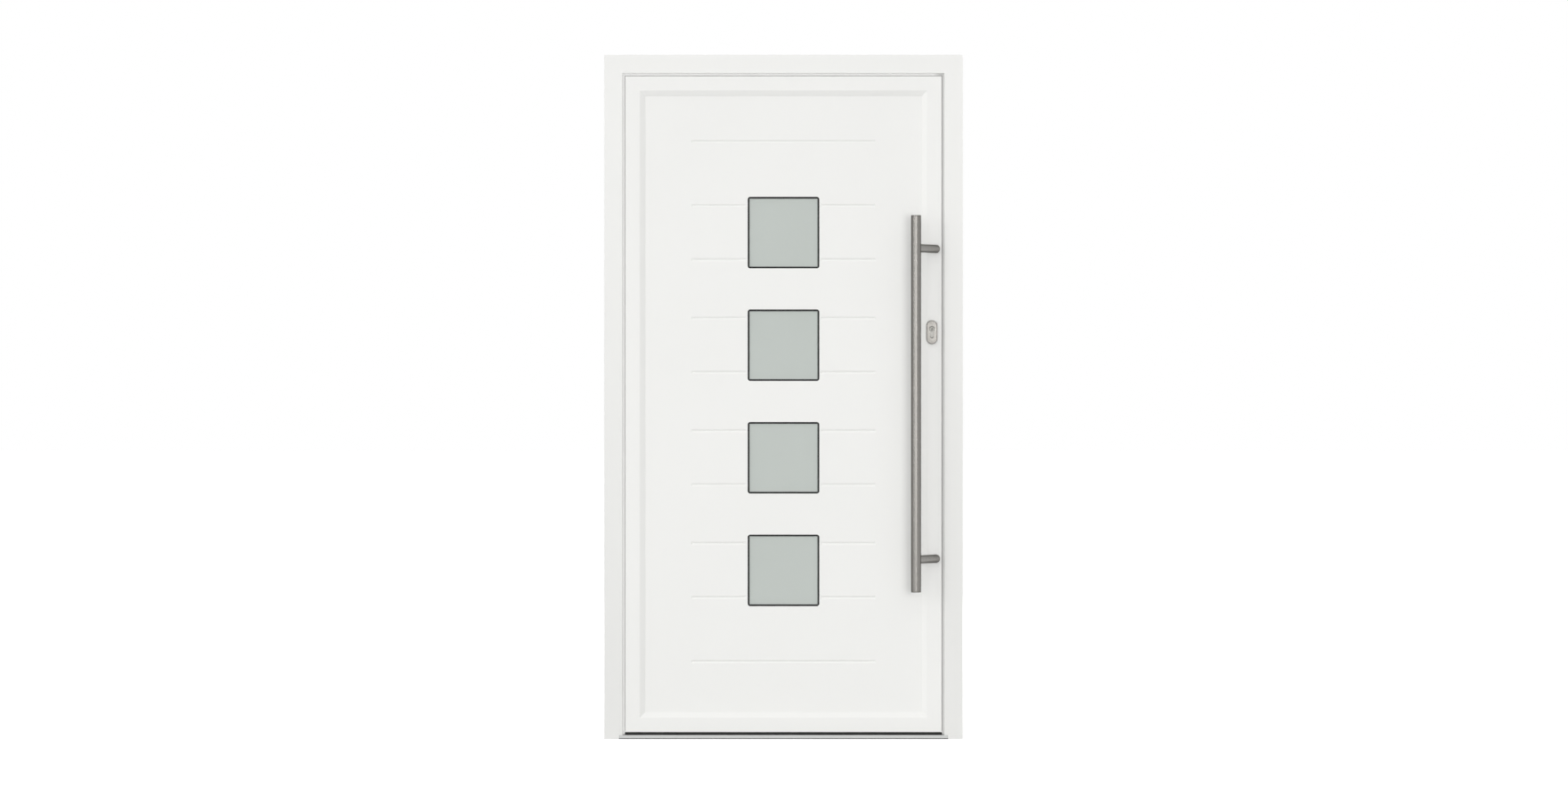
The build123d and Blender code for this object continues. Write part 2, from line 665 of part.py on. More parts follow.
def make_lock_furniture():
    """Cylinder with its two rosettes, and the lever on the inside."""
    z = LOCK_HEIGHT - ROSETTE_DROP
    front = LEAF_Y - ROSETTE_THICKNESS
    back = Y_IN + ROSETTE_THICKNESS
    bore = cylinder_section(CYLINDER_PLAY)
    through = from_front(bore, LOCK_X, LOCK_HEIGHT, front - CUT_PAST, back + CUT_PAST)
    y0 = front + CYLINDER_SETBACK
    y1 = back - CYLINDER_SETBACK
    cylinder = from_front(cylinder_section(0), LOCK_X, LOCK_HEIGHT, y0, y1)
    keyway = Rectangle(KEYWAY_WIDTH, KEYWAY_HEIGHT)
    cylinder -= from_front(keyway, LOCK_X, LOCK_HEIGHT, y0 - CUT_PAST, y0 + KEYWAY_DEPTH)
    cylinder -= from_front(keyway, LOCK_X, LOCK_HEIGHT, y1 - KEYWAY_DEPTH, y1 + CUT_PAST)
    grip_y = back + LEVER_STANDOFF
    path = Polyline(
        (LOCK_X, back, LEVER_HEIGHT),
        (LOCK_X, grip_y, LEVER_HEIGHT),
        (LOCK_X - LEVER_LENGTH, grip_y, LEVER_HEIGHT),
    )
    start = Plane(origin=(LOCK_X, back, LEVER_HEIGHT), x_dir=(1, 0, 0), z_dir=(0, 1, 0))
    lever = sweep(start * Circle(LEVER_DIAMETER / 2), path=path, transition=Transition.RIGHT)
    return {
        "outside_rosette": rosette(LEAF_Y, front, z) - through,
        "inside_rosette": rosette(Y_IN, back, z) - through,
        "lock_cylinder": cylinder,
        "lever_rosette": rosette(Y_IN, back, LEVER_HEIGHT),
        "inside_lever": lever,
    }


def hinge_heights():
    """Middle height of each hinge, from the bottom up."""
    low = LEAF_BOTTOM + HINGE_FROM_ENDS
    step = (LEAF_TOP - LEAF_BOTTOM - 2 * HINGE_FROM_ENDS) / (len(HINGE_NAMES) - 1)
    return [low + i * step for i in range(len(HINGE_NAMES))]


def wing(side, z, z0, z1):
    """One hinge wing: a plate on the inside face with a knuckle between two levels."""
    x0 = HINGE_X + side * WING_SETBACK
    x1 = x0 + side * WING_WIDTH
    plate_top = Y_IN + WING_THICKNESS
    half = HINGE_LENGTH / 2
    plate = slab(min(x0, x1), max(x0, x1), Y_IN, plate_top, z - half, z + half)
    web = outline(
        (x0 + side * WING_WIDTH / 2, plate_top),
        (x0, plate_top),
        (x0, Y_IN + WING_THICKNESS / 2),
        (HINGE_X, HINGE_Y - KNUCKLE_RADIUS),
        (HINGE_X, HINGE_Y),
        (HINGE_X + side * KNUCKLE_RADIUS, HINGE_Y),
    )
    section = web + Pos(HINGE_X, HINGE_Y) * Circle(KNUCKLE_RADIUS)
    section -= Pos(HINGE_X, HINGE_Y) * Circle(PIN_RADIUS + PIN_PLAY)
    return plate + Pos(0, 0, z0) * extrude(section, amount=z1 - z0, dir=(0, 0, 1))


def make_hinges():
    """Lift-off hinges: frame wings with the lower knuckle, leaf wings with the upper one, and pins."""
    half = HINGE_LENGTH / 2
    play = HINGE_PLAY / 2
    pin = Cylinder(PIN_RADIUS, HINGE_LENGTH + 2 * PIN_PROUD)
    nodes = {}
    pins = []
    for name, z in zip(HINGE_NAMES, hinge_heights()):
        nodes[f"{name}_hinge_frame_wing"] = wing(-1, z, z - half, z - play)
        nodes[f"{name}_hinge_leaf_wing"] = wing(1, z, z + play, z + half)
        pins.append(Pos(HINGE_X, HINGE_Y, z) * pin)
    nodes["hinge_pins"] = group(pins)
    return nodes


def make_door():
    """Every piece of the doorset by node name."""
    return {
        **make_frame(),
        **make_leaf_frame(),
        **make_panel(),
        **make_pull_bar(),
        **make_lock_furniture(),
        **make_hinges(),
    }


os.makedirs("parts", exist_ok=True)
for node_name, shape in make_door().items():
    export_step(shape, f"parts/{node_name}.step")
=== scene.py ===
import json
import math

import bmesh
import bpy
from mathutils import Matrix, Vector


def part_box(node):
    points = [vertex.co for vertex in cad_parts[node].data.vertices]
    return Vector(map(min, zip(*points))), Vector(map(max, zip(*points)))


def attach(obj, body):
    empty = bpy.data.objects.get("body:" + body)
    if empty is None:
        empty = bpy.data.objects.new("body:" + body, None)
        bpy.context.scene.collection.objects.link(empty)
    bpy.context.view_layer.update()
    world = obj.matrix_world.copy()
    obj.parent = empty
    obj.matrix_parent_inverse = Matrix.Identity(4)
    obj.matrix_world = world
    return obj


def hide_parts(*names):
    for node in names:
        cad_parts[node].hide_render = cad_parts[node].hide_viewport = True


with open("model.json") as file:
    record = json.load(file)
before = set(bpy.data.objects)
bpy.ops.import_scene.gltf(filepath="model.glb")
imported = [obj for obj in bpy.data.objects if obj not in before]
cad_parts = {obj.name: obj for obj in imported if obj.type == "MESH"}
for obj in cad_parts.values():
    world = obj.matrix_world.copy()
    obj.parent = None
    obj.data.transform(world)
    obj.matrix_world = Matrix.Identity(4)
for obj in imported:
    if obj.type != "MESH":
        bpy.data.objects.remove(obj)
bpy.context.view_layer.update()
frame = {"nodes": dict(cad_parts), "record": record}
bpy.ops.object.select_all(action="DESELECT")

MM = 0.001
RIGHT_ANGLE = math.radians(90)

# The two sides of the leaf, as the way along Y that faces out of it
OUTSIDE = -1
INSIDE = 1

# Camera: straight in front of the door, far away, at half its height
IMAGE_WIDTH = 1760
METRES_PER_PIXEL = 2.7326 * MM
CAMERA_DISTANCE = 11.0
CAMERA_X = 0.0015
CAMERA_Z = 1.047
CAMERA_REACH = 200.0
SENSOR_WIDTH = 36.0

# Soft dome of light, brightest at the upper left in front of the door
DOME_BRIGHT_SIDE = (-0.50, -0.62, 0.60)
DOME_DARK = 0.12
DOME_BRIGHT = 1.22

# White surroundings, and a floor that glows only where it is looked at
WHITE = (1, 1, 1, 1)
WHITE_STRENGTH = 1.0
FLOOR_SIZE = 120.0
FLOOR_GREY = (0.5, 0.5, 0.5, 1)
FLOOR_ROUGHNESS = 0.9
FLOOR_GLOW = 0.70

# The middle range of a noise, where most of its values lie
NOISE_LOW = 0.3
NOISE_HIGH = 0.7

# Paint: its tones, its orange peel, and painted shade that makes the frame's paint greyer toward the foot
PAINT_DARK = (0.835, 0.835, 0.815)
PAINT_LIGHT = (0.86, 0.86, 0.84)
PAINT_SHEEN = 0.35
SHADE_FOOT_Z = 0.3
SHADE_HEAD_Z = 1.9
FOOT_SHADE_SHARE = 0.925
CLOUD_SCALE = 2.2
PEEL_SCALE = 850
PEEL_DETAIL = 2.0
PEEL_SPREAD = 0.04
PEEL_STRENGTH = 0.08
PEEL_DEPTH = 0.2 * MM

# Metal: the way its fine lines run, and a tone that hardly mirrors at a glancing angle
ALONG_X = (0.02, 1, 1)
ALONG_Z = (1, 1, 0.02)
DARK_EDGE = (0.03, 0.03, 0.03)
LINE_DETAIL = 4.0
LINE_SPREAD = 0.06
LINE_STRENGTH = 0.06
LINE_DEPTH = 0.05 * MM

# Rubber, and where painted shade makes the frame's seal darker on the lock side
BLOOM_SCALE = 60
BLOOM_ROUGHNESS = (0.62, 0.78)
SEAL_SHADE_START_X = 0.46
SEAL_SHADE_FULL_X = 0.48
SEAL_SHADE_SHARE = 0.68

# Etched glass
GLASS_DARK = (0.612, 0.656, 0.622)
GLASS_LIGHT = (0.648, 0.692, 0.658)
GLASS_CLEARNESS = 0.25
GLASS_IOR = 1.5
HAZE_SCALE = 5.0
ETCH_SCALE = 700
ETCH_DETAIL = 2.0
ETCH_ROUGHNESS = (0.5, 0.6)
ETCH_STRENGTH = 0.1
ETCH_DEPTH = 0.05 * MM

# The look of each paint, rubber and metal, by its finish
WHITE_PAINT = dict(dark=PAINT_DARK, light=PAINT_LIGHT)
PAINTS = {
    "frame_white": dict(**WHITE_PAINT, roughness=0.42, foot_shade_share=FOOT_SHADE_SHARE),
    "leaf_white": dict(**WHITE_PAINT, roughness=0.42),
    "panel_white": dict(**WHITE_PAINT, roughness=0.45),
    "hinge_white": dict(dark=(0.80, 0.80, 0.785), light=(0.83, 0.83, 0.815), roughness=0.38),
}
RUBBERS = {
    "break_plastic": dict(dark=(0.012, 0.012, 0.013), light=(0.022, 0.022, 0.023)),
    "core_foam": dict(dark=(0.62, 0.58, 0.45), light=(0.70, 0.66, 0.53)),
    "grey_seal": dict(dark=(0.80, 0.80, 0.785), light=(0.84, 0.84, 0.825), lock_shade_share=SEAL_SHADE_SHARE),
    "black_seal": dict(dark=(0.008, 0.008, 0.008), light=(0.014, 0.014, 0.014)),
}
METALS = {
    "threshold_aluminium": dict(
        dark=(0.39, 0.395, 0.39),
        light=(0.47, 0.475, 0.47),
        roughness=0.45,
        stretch=ALONG_X,
        scale=900,
    ),
    "spacer_aluminium": dict(
        dark=(0.5, 0.5, 0.5),
        light=(0.6, 0.6, 0.6),
        roughness=0.4,
        stretch=ALONG_X,
        scale=600,
    ),
    "brushed_stainless": dict(
        dark=(0.24, 0.23, 0.215),
        light=(0.31, 0.30, 0.28),
        roughness=0.30,
        stretch=ALONG_Z,
        scale=1600,
        edge=(0.1, 0.1, 0.1),
    ),
    "bar_stainless": dict(
        dark=(0.20, 0.192, 0.18),
        light=(0.26, 0.25, 0.235),
        roughness=0.24,
        stretch=ALONG_Z,
        scale=1600,
        edge=DARK_EDGE,
    ),
    "level_stainless": dict(
        dark=(0.25, 0.243, 0.23),
        light=(0.32, 0.312, 0.297),
        roughness=0.3,
        stretch=ALONG_X,
        scale=1400,
        edge=(0.3, 0.3, 0.3),
    ),
    "lock_steel": dict(
        dark=(0.38, 0.38, 0.38),
        light=(0.46, 0.46, 0.46),
        roughness=0.33,
        stretch=ALONG_Z,
        scale=1200,
        edge=DARK_EDGE,
    ),
    "cylinder_nickel": dict(
        dark=(0.24, 0.235, 0.22),
        light=(0.30, 0.295, 0.275),
        roughness=0.35,
        stretch=ALONG_X,
        scale=1500,
        edge=DARK_EDGE,
    ),
}

# How finely pieces are turned, rounded and smoothed, and how near counts as the same place
ROUND_SIDES = 96
SMALL_ROUND_SIDES = 48
SCREW_SIDES = 24
FINE_STEPS = 4
MEDIUM_STEPS = 3
SMALL_STEPS = 2
CORNER_STEPS = 8
SMOOTH_DEGREES = 35
COVER_SMOOTH_DEGREES = 25
SAME_PLACE = 0.01 * MM
HAIR = 0.001 * MM
SAME_WAY = 0.99
LEVEL_DIGITS = 5
CUT_PAST = 1.0 * MM

# Screws
SOCKET_RIM_SHARE = 0.45
SCREW_HEAD = 0.4 * MM
SMALL_SCREW_RADIUS = 3.8 * MM

# Pull bar and its brackets
BAR_END_BEVEL = 1.2 * MM
SEAM_HALF = 0.35 * MM
SEAM_DEPTH = 0.35 * MM
BRACKET_BEVEL = 0.5 * MM
CLAMP_SCREW_FROM_FOOT = 9.0 * MM
CLAMP_SCREW_RADIUS = 2.6 * MM
CLAMP_SCREW_HEAD = 0.3 * MM

# Lock furniture
COVER_BEVEL = 2.6 * MM
KEYHOLE_TAIL_RADIUS = 5.0 * MM
KEYHOLE_PLAY = 0.5 * MM
KEYHOLE_END_PLAY = 1.6 * MM
# Black ring that stands in for the shade in the keyhole's gap (painted shade)
SHADE_LINER_THICKNESS = 2.0 * MM
SHADE_LINER_PLAY = 0.05 * MM
PLUG_RADIUS = 6.6 * MM
PLUG_PROUD = 0.5 * MM
PLUG_BEVEL = 0.25 * MM
KEY_SLOT_WIDTH = 2.4 * MM
KEY_SLOT_HEIGHT = 9.0 * MM
LEVER_KNEE_BEVEL = 1.2 * MM
LEVER_TIP_BEVEL = 3.0 * MM
COLLAR_HEIGHT = 3.0 * MM
COLLAR_RIM = 2.5 * MM
COLLAR_BEVEL = 1.0 * MM
FACEPLATE_SCREW_SHARES = (0.01, 0.16, 0.47, 0.6, 0.99)
STRIKE_SCREW_FROM_END = 10.0 * MM
STRIKE_GAP = 100.0 * MM

# Hinges, from the bottom up
HINGES = ("bottom", "middle", "top")
HINGE_CAP = 3.0 * MM
HINGE_CAP_BEVEL = 1.8 * MM
WING_THICKNESS = 5.0 * MM
WING_SCREW_RADIUS = 4.4 * MM
WING_SCREW_STEP = 42.0 * MM
WING_SCREW_FROM_EDGE = 10.0 * MM

# Threshold ribs and window beads
RIB_COUNT = 6
RIB_MARGIN = 5.0 * MM
RIB_WIDTH = 2.0 * MM
RIB_HEIGHT = 0.5 * MM
RIB_BEVEL = 0.25 * MM
WINDOW_COUNT = 4
WINDOW_OPENING = 220.0 * MM
WINDOW_CORNER = 8.0 * MM
BEAD_WIDTH = 2.4 * MM
BEAD_FOOT = 3.0 * MM
BEAD_SETBACK = 0.8 * MM
BEAD_BEVEL = 0.6 * MM


def box_size(node):
    """Lowest corner, highest corner and middle of a node's box."""
    low, high = (Vector(corner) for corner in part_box(node))
    return low, high, (low + high) / 2


def back_and_front(node, outward):
    """Where a node's back and front lie along Y, for a piece on the outside or the inside."""
    low, high, _ = box_size(node)
    return (high.y, low.y) if outward == OUTSIDE else (low.y, high.y)


# Camera, light and stage


def make_camera():
    """Long lens square to the outside face."""
    jamb_low, _, _ = box_size("hinge_jamb")
    bpy.ops.object.camera_add(
        location=(CAMERA_X, jamb_low.y - CAMERA_DISTANCE, CAMERA_Z),
        rotation=(RIGHT_ANGLE, 0, 0),
    )
    camera = bpy.context.object
    camera.name = "photo_camera"
    camera.data.sensor_width = SENSOR_WIDTH
    camera.data.lens = SENSOR_WIDTH * CAMERA_DISTANCE / (IMAGE_WIDTH * METRES_PER_PIXEL)
    camera.data.clip_end = CAMERA_REACH
    bpy.context.scene.camera = camera


def make_softbox(name, place, target, size, watts, mirrored=True):
    """Rectangular lamp at a place, turned to a target, which metal may mirror or not."""
    bpy.ops.object.light_add(type="AREA", location=place)
    lamp = bpy.context.object
    lamp.name = name
    lamp.rotation_euler = (Vector(target) - Vector(place)).to_track_quat("-Z", "Y").to_euler()
    lamp.data.shape = "RECTANGLE"
    lamp.data.size, lamp.data.size_y = size
    lamp.data.energy = watts
    lamp.visible_glossy = mirrored


def make_lamps():
    """Strips that draw the bright lines on the pull bar, wide lamps in front and one lamp for the inside."""
    make_softbox("left_strip", place=(-5.0, -5.0, 2.2), target=(0, 0, 1.0), size=(0.5, 3.6), watts=40)
    make_softbox("bar_strip", place=(2.0, -9.0, 1.1), target=(0.4, 0, 1.0), size=(0.12, 3.0), watts=14)
    make_softbox(
        "right_front",
        place=(2.0, -9.0, 1.1),
        target=(0, 0, 0.8),
        size=(2.5, 2.0),
        watts=130,
        mirrored=False,
    )
    make_softbox("front_wide", place=(-0.5, -10.0, 1.6), target=(0, 0, 0.5), size=(9.0, 3.0), watts=150)
    make_softbox("inside_fill", place=(2.5, 6.5, 3.2), target=(0, 0, 1.1), size=(3.0, 3.0), watts=330)


def seen_ray(nodes, links):
    """Value of 1 for camera, mirror and see-through rays."""
    path = nodes.new("ShaderNodeLightPath")
    seen = nodes.new("ShaderNodeMath")
    seen.operation = "MAXIMUM"
    both = nodes.new("ShaderNodeMath")
    both.operation = "MAXIMUM"
    links.new(path.outputs["Is Camera Ray"], seen.inputs[0])
    links.new(path.outputs["Is Glossy Ray"], seen.inputs[1])
    links.new(seen.outputs[0], both.inputs[0])
    links.new(path.outputs["Is Transmission Ray"], both.inputs[1])
    return both.outputs[0]


def make_world():
    """White surroundings to look at, and a soft dome to light the door."""
    world = bpy.data.worlds.new("white_studio")
    bpy.context.scene.world = world
    world.use_nodes = True
    nodes, links = world.node_tree.nodes, world.node_tree.links
    background = nodes["Background"]
    background.inputs["Color"].default_value = WHITE
    way = nodes.new("ShaderNodeTexCoord")
    toward = nodes.new("ShaderNodeVectorMath")
    toward.operation = "DOT_PRODUCT"
    toward.inputs[1].default_value = Vector(DOME_BRIGHT_SIDE).normalized()
    links.new(way.outputs["Generated"], toward.inputs[0])
    dome = nodes.new("ShaderNodeMapRange")
    dome.inputs["To Min"].default_value = DOME_DARK
    dome.inputs["To Max"].default_value = DOME_BRIGHT
    links.new(toward.outputs["Value"], dome.inputs["Value"])
    strength = nodes.new("ShaderNodeMix")
    strength.inputs["B"].default_value = WHITE_STRENGTH
    links.new(seen_ray(nodes, links), strength.inputs["Factor"])
    links.new(dome.outputs["Result"], strength.inputs["A"])
    links.new(strength.outputs["Result"], background.inputs["Strength"])


def make_floor():
    """Wide pale floor that keeps the door's soft shadow."""
    bpy.ops.mesh.primitive_plane_add(size=FLOOR_SIZE, location=(0, 0, 0))
    floor = bpy.context.object
    floor.name = "studio_floor"
    material, nodes, links, shader = new_finish("studio_floor")
    shader.inputs["Base Color"].default_value = FLOOR_GREY
    shader.inputs["Roughness"].default_value = FLOOR_ROUGHNESS
    shader.inputs["Emission Color"].default_value = WHITE
    glow = nodes.new("ShaderNodeMath")
    glow.operation = "MULTIPLY"
    glow.inputs[1].default_value = FLOOR_GLOW
    links.new(seen_ray(nodes, links), glow.inputs[0])
    links.new(glow.outputs[0], shader.inputs["Emission Strength"])
    floor.data.materials.append(material)


def make_studio():
    """Camera, lamps, surroundings and floor."""
    bpy.context.scene.view_settings.view_transform = "Standard"
    make_camera()
    make_lamps()
    make_world()
    make_floor()


# Finishes


def new_finish(name):
    """New material with its nodes, links and main shader."""
    material = bpy.data.materials.new(name)
    material.use_nodes = True
    nodes, links = material.node_tree.nodes, material.node_tree.links
    return material, nodes, links, nodes["Principled BSDF"]


def object_noise(nodes, links, scale, detail=3.0, stretch=(1, 1, 1)):
    """Noise on the piece's own coordinates, with a stretch along each axis."""
    place = nodes.new("ShaderNodeTexCoord")
    mapping = nodes.new("ShaderNodeMapping")
    mapping.inputs["Scale"].default_value = stretch
    noise = nodes.new("ShaderNodeTexNoise")
    noise.inputs["Scale"].default_value = scale
    noise.inputs["Detail"].default_value = detail
    links.new(place.outputs["Object"], mapping.inputs["Vector"])
    links.new(mapping.outputs["Vector"], noise.inputs["Vector"])
    return noise.outputs["Fac"]


def between(nodes, links, value, low, high):
    """Number that runs from low to high as noise rises."""
    ramp = nodes.new("ShaderNodeMapRange")
    ramp.inputs["From Min"].default_value = NOISE_LOW
    ramp.inputs["From Max"].default_value = NOISE_HIGH
    ramp.inputs["To Min"].default_value = low
    ramp.inputs["To Max"].default_value = high
    links.new(value, ramp.inputs["Value"])
    return ramp.outputs["Result"]


def tint(nodes, links, value, dark, light):
    """Colour between two tones as noise rises."""
    mix = nodes.new("ShaderNodeMix")
    mix.data_type = "RGBA"
    mix.inputs["A"].default_value = (*dark, 1)
    mix.inputs["B"].default_value = (*light, 1)
    links.new(value, mix.inputs["Factor"])
    return mix.outputs["Result"]


def bump(nodes, links, shader, value, strength, depth):
    """Surface relief from a noise."""
    relief = nodes.new("ShaderNodeBump")
    relief.inputs["Strength"].default_value = strength
    relief.inputs["Distance"].default_value = depth
    links.new(value, relief.inputs["Height"])
    links.new(relief.outputs["Normal"], shader.inputs["Normal"])


def shaded_along(nodes, links, colour, axis, start, end, start_share, end_share):
    """Colour that is scaled from one share to another between two places along an axis."""
    place = nodes.new("ShaderNodeTexCoord")
    axes = nodes.new("ShaderNodeSeparateXYZ")
    links.new(place.outputs["Object"], axes.inputs["Vector"])
    share = nodes.new("ShaderNodeMapRange")
    share.inputs["From Min"].default_value = start
    share.inputs["From Max"].default_value = end
    share.inputs["To Min"].default_value = start_share
    share.inputs["To Max"].default_value = end_share
    links.new(axes.outputs[axis], share.inputs["Value"])
    shade = nodes.new("ShaderNodeVectorMath")
    shade.operation = "SCALE"
    links.new(colour, shade.inputs[0])
    links.new(share.outputs["Result"], shade.inputs["Scale"])
    return shade.outputs["Vector"]


def powder_coat(name, dark, light, roughness, foot_shade_share=1.0):
    """Satin powder coat: faint cloudiness, a fine orange peel and painted shade that may make its foot
    greyer.
    """
    material, nodes, links, shader = new_finish(name)
    cloud = object_noise(nodes, links, CLOUD_SCALE)
    peel = object_noise(nodes, links, PEEL_SCALE, PEEL_DETAIL)
    colour = tint(nodes, links, cloud, dark, light)
    # Painted shade: the colour darkens from the head down to the foot
    if foot_shade_share < 1:
        colour = shaded_along(nodes, links, colour, "Z", SHADE_FOOT_Z, SHADE_HEAD_Z, foot_shade_share, 1.0)
    gloss = between(nodes, links, peel, roughness - PEEL_SPREAD, roughness + PEEL_SPREAD)
    links.new(colour, shader.inputs["Base Color"])
    links.new(gloss, shader.inputs["Roughness"])
    shader.inputs["Specular IOR Level"].default_value = PAINT_SHEEN
    bump(nodes, links, shader, peel, PEEL_STRENGTH, PEEL_DEPTH)
    return material


def metal(name, dark, light, roughness, stretch, scale, edge=(1, 1, 1)):
    """Metal with fine lines along one way, and a tone that it takes at a glancing angle."""
    material, nodes, links, shader = new_finish(name)
    lines = object_noise(nodes, links, scale, LINE_DETAIL, stretch)
    gloss = between(nodes, links, lines, roughness - LINE_SPREAD, roughness + LINE_SPREAD)
    links.new(tint(nodes, links, lines, dark, light), shader.inputs["Base Color"])
    links.new(gloss, shader.inputs["Roughness"])
    shader.inputs["Metallic"].default_value = 1.0
    shader.inputs["Specular Tint"].default_value = (*edge, 1)
    bump(nodes, links, shader, lines, LINE_STRENGTH, LINE_DEPTH)
    return material


def rubber(name, dark, light, lock_shade_share=1.0):
    """Matt rubber with a faint bloom, and painted shade that may make it darker on the lock side."""
    material, nodes, links, shader = new_finish(name)
    bloom = object_noise(nodes, links, BLOOM_SCALE)
    colour = tint(nodes, links, bloom, dark, light)
    # Painted shade: the seal darkens toward the lock side, where the gap looks dark
    if lock_shade_share < 1:
        colour = shaded_along(nodes, links, colour, "X", SEAL_SHADE_START_X, SEAL_SHADE_FULL_X, 1.0, lock_shade_share)
    links.new(colour, shader.inputs["Base Color"])
    links.new(between(nodes, links, bloom, *BLOOM_ROUGHNESS), shader.inputs["Roughness"])
    return material


def frosted_glass(name):
    """Etched glass that lets light through and shows nothing behind it."""
    material, nodes, links, shader = new_finish(name)
    etch = object_noise(nodes, links, ETCH_SCALE, ETCH_DETAIL)
    haze = object_noise(nodes, links, HAZE_SCALE)
    links.new(tint(nodes, links, haze, GLASS_DARK, GLASS_LIGHT), shader.inputs["Base Color"])
    links.new(between(nodes, links, etch, *ETCH_ROUGHNESS), shader.inputs["Roughness"])
    shader.inputs["Transmission Weight"].default_value = GLASS_CLEARNESS
    shader.inputs["IOR"].default_value = GLASS_IOR
    bump(nodes, links, shader, etch, ETCH_STRENGTH, ETCH_DEPTH)
    return material


def make_finishes():
    """Every finish by its name: one for each slot of the record, and two more for the handles."""
    made = {"frosted_glass": frosted_glass("frosted_glass")}
    for make, looks in ((powder_coat, PAINTS), (rubber, RUBBERS), (metal, METALS)):
        for name, look in looks.items():
            made[name] = make(name, **look)
    return made


def dress_nodes():
    """Give every CAD node the finish of its slot."""
    for entry in frame["record"]["subparts"]:
        node = frame["nodes"][entry["node"]]
        node.data.materials.clear()
        node.data.materials.append(finishes[entry["material_slot"]])


# Shaping by hand


def select_only(*pieces):
    """Select these objects and nothing else."""
    bpy.ops.object.select_all(action="DESELECT")
    for piece in pieces:
        piece.select_set(True)
    bpy.context.view_layer.objects.active = pieces[0]


def settle(piece):
    """Put the object's place into its mesh."""
    select_only(piece)
    bpy.ops.object.transform_apply(location=True, rotation=True, scale=True)


def round_rod(start, end, radius, sides):
    """Closed round rod from one point to another."""
    start, end = Vector(start), Vector(end)
    bpy.ops.object.select_all(action="DESELECT")
    bpy.ops.mesh.primitive_cylinder_add(
        vertices=sides,
        radius=radius,
        depth=(end - start).length,
        location=(start + end) / 2,
        rotation=(end - start).to_track_quat("Z", "Y").to_euler(),
    )
    rod = bpy.context.object
    settle(rod)
    return rod


def brick(low, high):
    """Rectangular block between two corners."""
    low, high = Vector(low), Vector(high)
    bpy.ops.object.select_all(action="DESELECT")
    bpy.ops.mesh.primitive_cube_add(size=1, location=(low + high) / 2, scale=high - low)
    block = bpy.context.object
    settle(block)
    return block


def start_edit(piece, mode):
    """Edit one piece with nothing selected."""
    select_only(piece)
    bpy.ops.object.mode_set(mode="EDIT")
    bpy.ops.mesh.select_mode(type=mode)
    bpy.ops.mesh.select_all(action="DESELECT")
    return bmesh.from_edit_mesh(piece.data)


def pick_faces(piece, test):
    """Edit a piece with the faces selected whose middle and normal pass a test."""
    shape = start_edit(piece, "FACE")
    for face in shape.faces:
        face.select_set(test(face.calc_center_median(), face.normal))
    bmesh.update_edit_mesh(piece.data)


def pick_edges(piece, test):
    """Edit a piece with the edges selected whose two ends both pass a test."""
    shape = start_edit(piece, "EDGE")
    for edge in shape.edges:
        edge.select_set(all(test(corner.co) for corner in edge.verts))
    bmesh.update_edit_mesh(piece.data)


def pick_corners(piece, test):
    """Edit a piece with the corners selected that pass a test."""
    shape = start_edit(piece, "VERT")
    for corner in shape.verts:
        corner.select_set(test(corner.co))
    shape.select_flush(True)
    bmesh.update_edit_mesh(piece.data)


def pick_all(piece, mode):
    """Edit a piece with all of it selected."""
    start_edit(piece, mode)
    bpy.ops.mesh.select_all(action="SELECT")


def stop_edit():
    """Back to whole objects."""
    bpy.ops.object.mode_set(mode="OBJECT")


def near(value, target):
    """True where a coordinate has a target's value."""
    return abs(value - target) < SAME_PLACE


def on_plane(corner, point, normal):
    """True where a corner lies on the plane through a point."""
    return abs((corner - point).dot(normal)) < SAME_PLACE


def bevel_edges(piece, test, width, steps):
    """Round off the edges whose ends pass a test."""
    pick_edges(piece, test)
    bpy.ops.mesh.bevel(offset=width, segments=steps, affect="EDGES", clamp_overlap=True)
    stop_edit()


def cut_off(piece, point, normal):
    """Cut a piece by a plane, drop what lies past it and leave the cut open."""
    pick_all(piece, "FACE")
    bpy.ops.mesh.bisect(plane_co=point, plane_no=normal, clear_outer=True)
    stop_edit()


def combine(piece, operation, others):
    """Add other shapes to a piece or take them out of it, and delete them."""
    for other in others:
        select_only(piece)
        step = piece.modifiers.new("step", "BOOLEAN")
        step.operation = operation
        step.solver = "EXACT"
        step.object = other
        bpy.ops.object.modifier_apply(modifier="step")
        bpy.data.objects.remove(other)


def carve(piece, *cutters):
    """Take the cutters' shapes out of a piece."""
    combine(piece, "DIFFERENCE", cutters)


def gathered(pieces):
    """One object from several."""
    select_only(*pieces)
    bpy.ops.object.join()
    return pieces[0]


def welded(pieces):
    """One object from several, with meeting corners merged."""
    whole = gathered(pieces)
    pick_all(whole, "VERT")
    bpy.ops.mesh.remove_doubles(threshold=SAME_PLACE)
    bpy.ops.mesh.normals_make_consistent(inside=False)
    stop_edit()
    return whole


def copy_of(piece):
    """Free copy of a piece with its own mesh."""
    select_only(piece)
    bpy.ops.object.duplicate(linked=False)
    copy = bpy.context.object
    copy.parent = None
    return copy


def copied_to(piece, shifts):
    """One object from copies of a piece, one for each shift, in place of the piece."""
    copies = []
    for shift in shifts:
        copy = copy_of(piece)
        copy.location = shift
        settle(copy)
        copies.append(copy)
    bpy.data.objects.remove(piece)
    return gathered(copies)


def elbow(foot, knee, tip, radius, bevel, steps):
    """Round rod from foot to tip, mitred at the knee, with the mitre's edge rounded."""
    past = 2 * radius
    to_knee = (knee - foot).normalized()
    to_tip = (tip - knee).normalized()
    across = (to_knee + to_tip).normalized()
    first = round_rod(foot, knee + to_knee * past, radius, ROUND_SIDES)
    second = round_rod(knee - to_tip * past, tip, radius, ROUND_SIDES)
    cut_off(first, knee, across)
    cut_off(second, knee, -across)
    rod = welded([first, second])
    bevel_edges(rod, lambda corner: on_plane(corner, knee, across), bevel, steps)
    return rod


